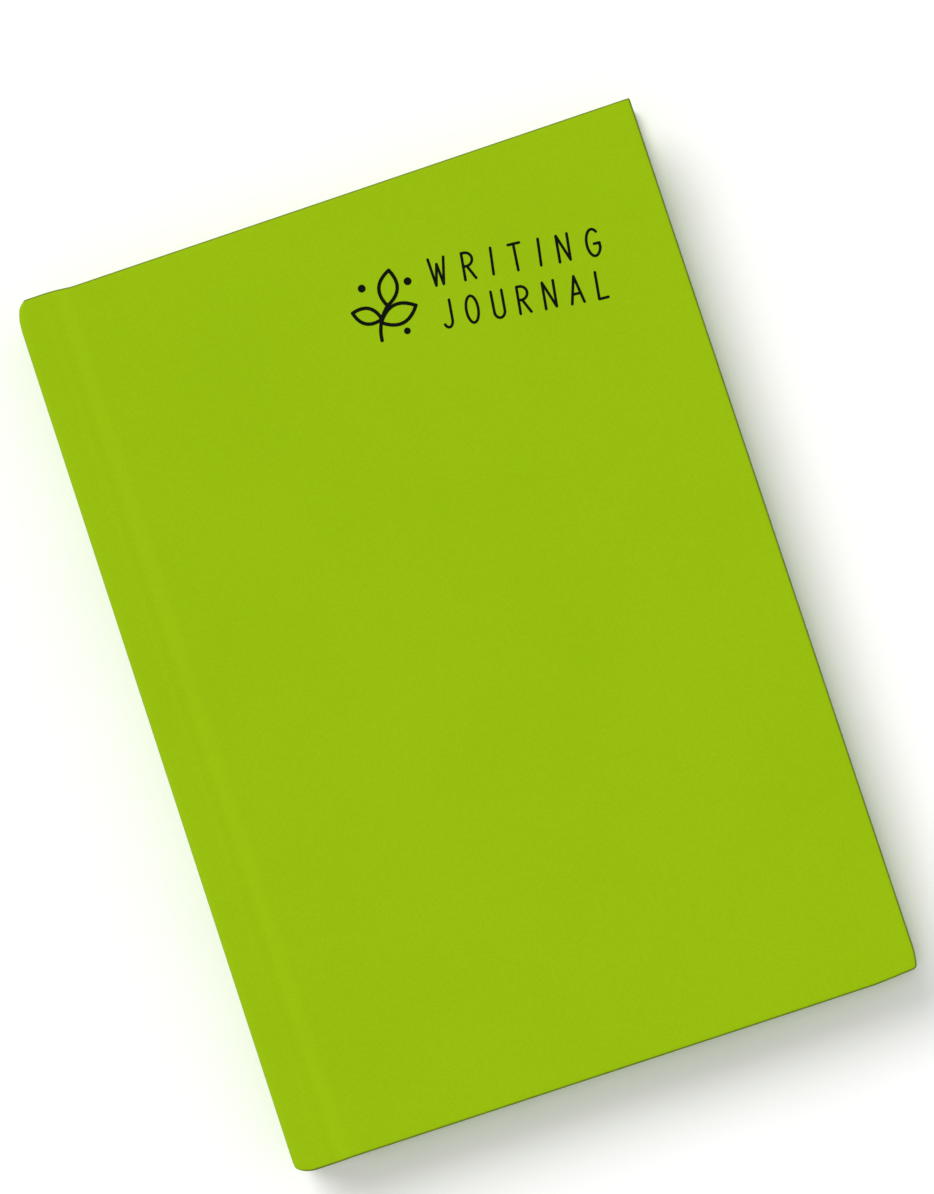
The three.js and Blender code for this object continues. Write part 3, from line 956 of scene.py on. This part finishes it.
def stroke_outline(path, width):
    """The closed outline of a smooth pen stroke with round ends."""
    points = [Vector(p) for p in path]
    after = [*points[1:], points[-1]]
    before = [points[0], *points[:-1]]
    ways = [(b - a).normalized() for a, b in zip(before, after)]
    left = [p + Vector((-w.y, w.x)) * width / 2 for p, w in zip(points, ways)]
    right = [p - Vector((-w.y, w.x)) * width / 2 for p, w in zip(points, ways)]

    def round_end(centre, way):
        first = math.atan2(way.y, way.x) - math.pi / 2
        angles = [first + math.pi * k / 8 for k in range(1, 8)]
        return [centre + Vector((math.cos(a), math.sin(a))) * width / 2 for a in angles]

    return right + round_end(points[-1], ways[-1]) + left[::-1] + round_end(points[0], -ways[0])


def dot_outline(x, y, radius):
    """A filled round dot."""
    return [Vector(p) for p in oval(x, y, radius, radius, 0, 345, 23)]


def printed(name, outlines):
    """Overlapping outlines joined into one thin raised print on the front cover."""
    corners, loops = [], []
    for outline in outlines:
        loops.append(list(range(len(corners), len(corners) + len(outline))))
        corners += outline
    plan, _, faces, _, _, sources = delaunay_2d_cdt(corners, [], loops, 0, 1e-5)
    faces = [tuple(face) for face, source in zip(faces, sources) if source]
    cos, sin = math.cos(LABEL_TURN), math.sin(LABEL_TURN)
    left, base = SPINE_X + LABEL_X, HALF - LABEL_Y
    placed = [(left + (cos * p.x - sin * p.y) * MM, base + (sin * p.x + cos * p.y) * MM) for p in plan]
    rim = {}
    for face in faces:
        for a, b in zip(face, face[1:] + face[:1]):
            key = frozenset((a, b))
            rim[key] = None if key in rim else (a, b)
    count = len(placed)
    points = [(x, y, TOP + INK_LIFT + INK_THICK) for x, y in placed]
    points += [(x, y, TOP + INK_LIFT) for x, y in placed]
    solid = faces + [tuple(count + i for i in face[::-1]) for face in faces]
    solid += [(a, b, count + b, count + a) for a, b in filter(None, rim.values())]
    made = piece(name, points, solid, [INK], merge=1e-9)
    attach(made, "front_cover")


def line(*points):
    """A straight or jointed stroke: one part for each stretch, because its corners are sharp."""
    return [list(pair) for pair in zip(points, points[1:])]


def bow(a, b, bulge, steps=10):
    """A gentle arc from a to b that bulges to its left."""
    a, b = Vector(a), Vector(b)
    side = Vector((a.y - b.y, b.x - a.x)) * bulge
    shares = [k / steps for k in range(steps + 1)]
    return [tuple(a.lerp(b, t) + side * 4 * t * (1 - t)) for t in shares]


def oval(x, y, rx, ry, start, stop, steps=16):
    """Part of an oval round (x, y), between two angles in degrees."""
    angles = [math.radians(start + (stop - start) * k / steps) for k in range(steps + 1)]
    return [(x + rx * math.cos(a), y + ry * math.sin(a)) for a in angles]


# Plain narrow capitals on a box one unit high: (width, strokes).
LETTERS = {
    "A": (0.46, line((0, 0), (0.22, 1), (0.46, 0.01)) + line((0.07, 0.34), (0.38, 0.36))),
    "G": (
        0.46,
        [oval(0.25, 0.49, 0.25, 0.50, 50, 338, 20)] + line((0.47, 0.31), (0.47, 0.45), (0.27, 0.44)),
    ),
    "I": (0.04, line((0.0, 0.02), (0.04, 1))),
    "J": (0.32, line((0.31, 1), (0.31, 0.25)) + [oval(0.15, 0.25, 0.16, 0.25, 0, -150, 10)]),
    "L": (0.34, line((0.01, 1), (0.0, 0.0), (0.34, 0.02))),
    "N": (0.42, line((0, 0), (0.01, 0.98), (0.40, 0.03), (0.42, 1))),
    "O": (0.44, [oval(0.22, 0.5, 0.22, 0.5, 90, 275), oval(0.22, 0.5, 0.22, 0.5, 265, 455)]),
    "R": (
        0.40,
        line((0, 0), (0.01, 1), (0.12, 1))
        + [oval(0.12, 0.75, 0.25, 0.25, 90, -90, 12)]
        + line((0.12, 0.5), (0.01, 0.5))
        + line((0.14, 0.5), (0.40, 0.01)),
    ),
    "T": (0.42, line((0, 0.98), (0.42, 1)) + line((0.20, 1), (0.22, 0))),
    "U": (
        0.40,
        line((0, 1), (0.01, 0.24))
        + [oval(0.205, 0.24, 0.195, 0.24, 180, 360, 12)]
        + line((0.40, 0.24), (0.40, 1)),
    ),
    "W": (0.58, line((0, 1), (0.15, 0), (0.29, 0.78), (0.43, 0.01), (0.58, 1))),
}


def word_outlines(word, left, base, length):
    """Outlines of a widely spaced word from left to length further on, on the line base."""
    widths = [LETTERS[c][0] * CAP_HEIGHT for c in word]
    gap = (length - sum(widths)) / (len(word) - 1)
    outlines = []
    for c, width in zip(word, widths):
        for path in LETTERS[c][1]:
            scaled = [(left + x * CAP_HEIGHT, base + y * CAP_HEIGHT) for x, y in path]
            outlines.append(stroke_outline(scaled, PEN))
        left += width + gap
    return outlines


# The sprig's leaves, as (where along the stem, direction in degrees, length), and its berries, as
# (x, y, radius) from its middle.
SPRIG_LEAVES = ((1.0, 78, 5.9), (0.62, 158, 5.0), (0.50, 16, 6.4))
SPRIG_BERRIES = ((-3.4, 3.4, 0.66), (4.3, 3.2, 0.66), (2.8, -4.9, 0.56))
LEAF_BULGE = 0.26


def sprig_outlines(x, y):
    """A stem with three leaves in outline and three berries, about twelve millimetres across."""
    stem = bow((x - 1.6, y - 5.7), (x + 0.3, y - 0.2), 0.10)
    outlines = [stroke_outline(stem, PEN_EMBLEM)]
    for share, degrees, length in SPRIG_LEAVES:
        root = Vector(stem[round(share * (len(stem) - 1))])
        angle = math.radians(degrees)
        tip = root + Vector((math.cos(angle), math.sin(angle))) * length
        for a, b in ((root, tip), (tip, root)):
            outlines.append(stroke_outline(bow(a, b, LEAF_BULGE), PEN_EMBLEM))
    return outlines + [dot_outline(x + dx, y + dy, radius) for dx, dy, radius in SPRIG_BERRIES]


def make_print():
    """A leaf sprig and two short words near the head, set at a slight angle to the cover."""
    printed("print_word_1", word_outlines("WRITING", 0.0, 0.0, 28.4))
    printed("print_word_2", word_outlines("JOURNAL", 0.9, -7.2, 27.4))
    printed("print_emblem", sprig_outlines(-8.2, -1.6))


# ---------------------------------------------------------------- put it together


FLOOR_HALF = 3.0
FLOOR_DROP = 0.03 * MM


def make_floor():
    """A white floor just under the back cover."""
    size = FLOOR_HALF
    corners = [(-size, -size, 0), (size, -size, 0), (size, size, 0), (-size, size, 0)]
    mesh = bpy.data.meshes.new("floor")
    mesh.from_pydata(corners, [], [(0, 1, 2, 3)])
    mesh.materials.append(FLOOR)
    floor = bpy.data.objects.new("floor", mesh)
    floor.location.z = -FLOOR_DROP
    bpy.context.scene.collection.objects.link(floor)


def finish_cad_nodes():
    """Procedural finishes for the CAD pieces that stay: boards, linings, gauze and thread."""
    finishes = {"board": BOARD, "lining": KRAFT, "mull": GAUZE, "thread": THREAD}
    for name, node in frame["nodes"].items():
        for word, material in finishes.items():
            if word in name:
                node.data.materials.clear()
                node.data.materials.append(material)


CLOTH_GREEN = cloth_material()
INK = ink_material()
PAGE = page_material("page_paper", (0.80, 0.77, 0.68), (0.77, 0.735, 0.635), True)
ENDPAPER = page_material("endpaper", (0.80, 0.79, 0.75), (0.775, 0.76, 0.715), False)
PAGE_EDGE = page_edge_material()
BOARD = board_material()
KRAFT = kraft_material()
GAUZE = gauze_material()
THREAD = thread_material("linen_thread", (0.82, 0.79, 0.70), (0.60, 0.56, 0.46))
BAND_GREEN = thread_material("band_green", (0.36, 0.55, 0.05), (0.22, 0.36, 0.02))
BAND_WHITE = thread_material("band_white", (0.85, 0.84, 0.78), (0.66, 0.65, 0.58))
FLOOR = floor_material()

make_camera()
make_lights()
make_floor()
finish_cad_nodes()
make_case()
make_board("back_board", "back_cover")
make_board("front_board", "front_cover")
make_signature(1, "back_cover")
for section in range(2, 8):
    make_signature(section, f"section_{section}")
make_signature(8, "front_hinge")
make_leaves()
make_endpapers()
make_headband("headband", 1)
make_headband("tailband", -1)
make_print()
